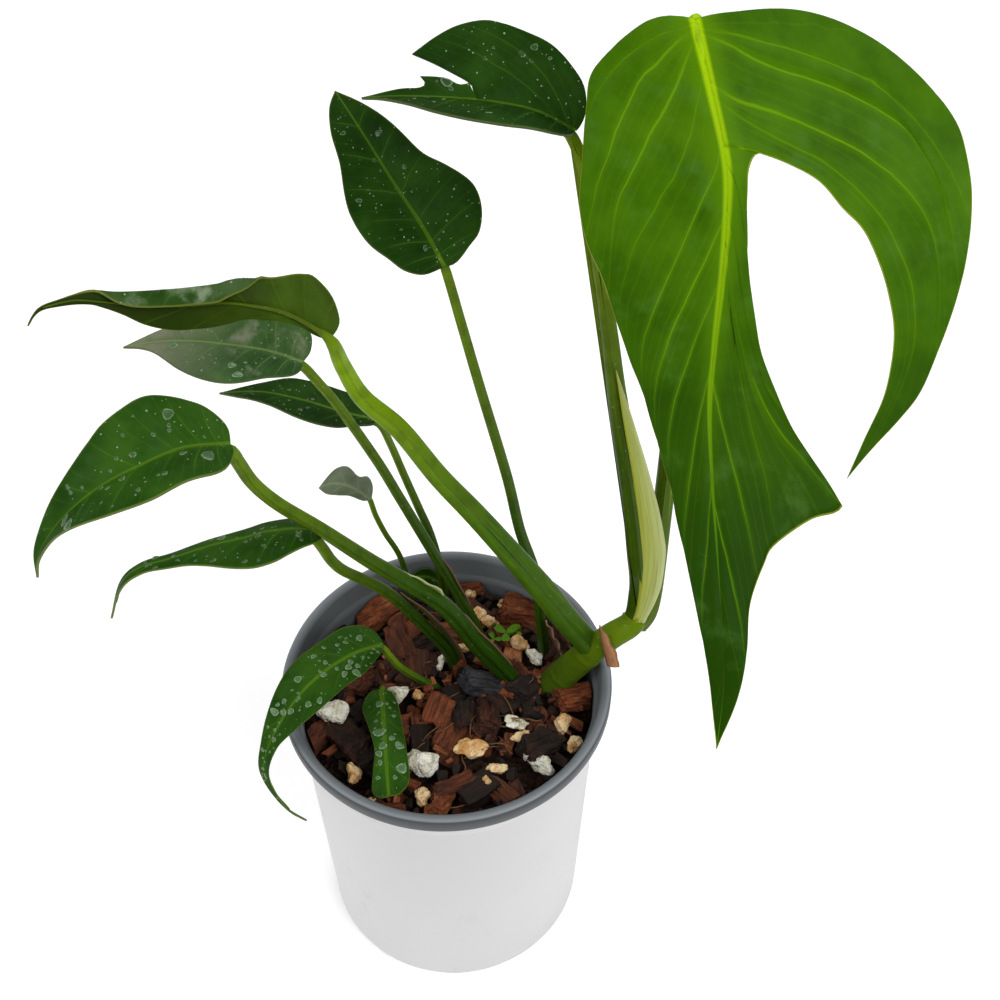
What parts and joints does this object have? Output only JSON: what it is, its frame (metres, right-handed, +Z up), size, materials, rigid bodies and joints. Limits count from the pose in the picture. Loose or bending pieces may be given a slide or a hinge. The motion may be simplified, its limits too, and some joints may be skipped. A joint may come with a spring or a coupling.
{
  "type": "potted split-leaf aroid plant",
  "caption": "Young climbing aroid with one large split leaf and smaller pointed leaves on arching stalks, in a tall tapered nursery pot filled with bark and pumice.",
  "frame": {"origin": "centre of the pot's underside, on its flat middle pad", "axes": "+Z up along the pot's axis; the side leaves reach towards -X and the large leaf hangs towards -Y, the viewer's side"},
  "size_m": [0.2672, 0.2145, 0.4065],
  "materials": {
    "bright_leaf": "satin",
    "dark_leaf": "satin",
    "grey_leaf": "matte",
    "stem": "satin",
    "root": "matte",
    "dry_sheath": "matte",
    "seedling": "matte",
    "bark_mix": "matte",
    "pot_plastic": "satin"
  },
  "bodies": {
    "root": {"leaf_split_large": "bright_leaf", "leaf_split_small": "dark_leaf", "leaf_tall_middle": "dark_leaf", "leaf_long_left": "dark_leaf", "leaf_pale_left": "dark_leaf", "leaf_narrow_back": "dark_leaf", "leaf_wide_left": "dark_leaf", "leaf_low_left": "dark_leaf", "leaf_young_grey": "grey_leaf", "leaf_over_rim": "dark_leaf", "leaf_on_mix": "dark_leaf", "leaf_back_small": "dark_leaf", "stem": "stem", "aerial_root": "root", "dry_sheath": "dry_sheath", "clover_seedling": "seedling", "potting_mix": "bark_mix", "pot": "pot_plastic"}
  },
  "joints": []
}
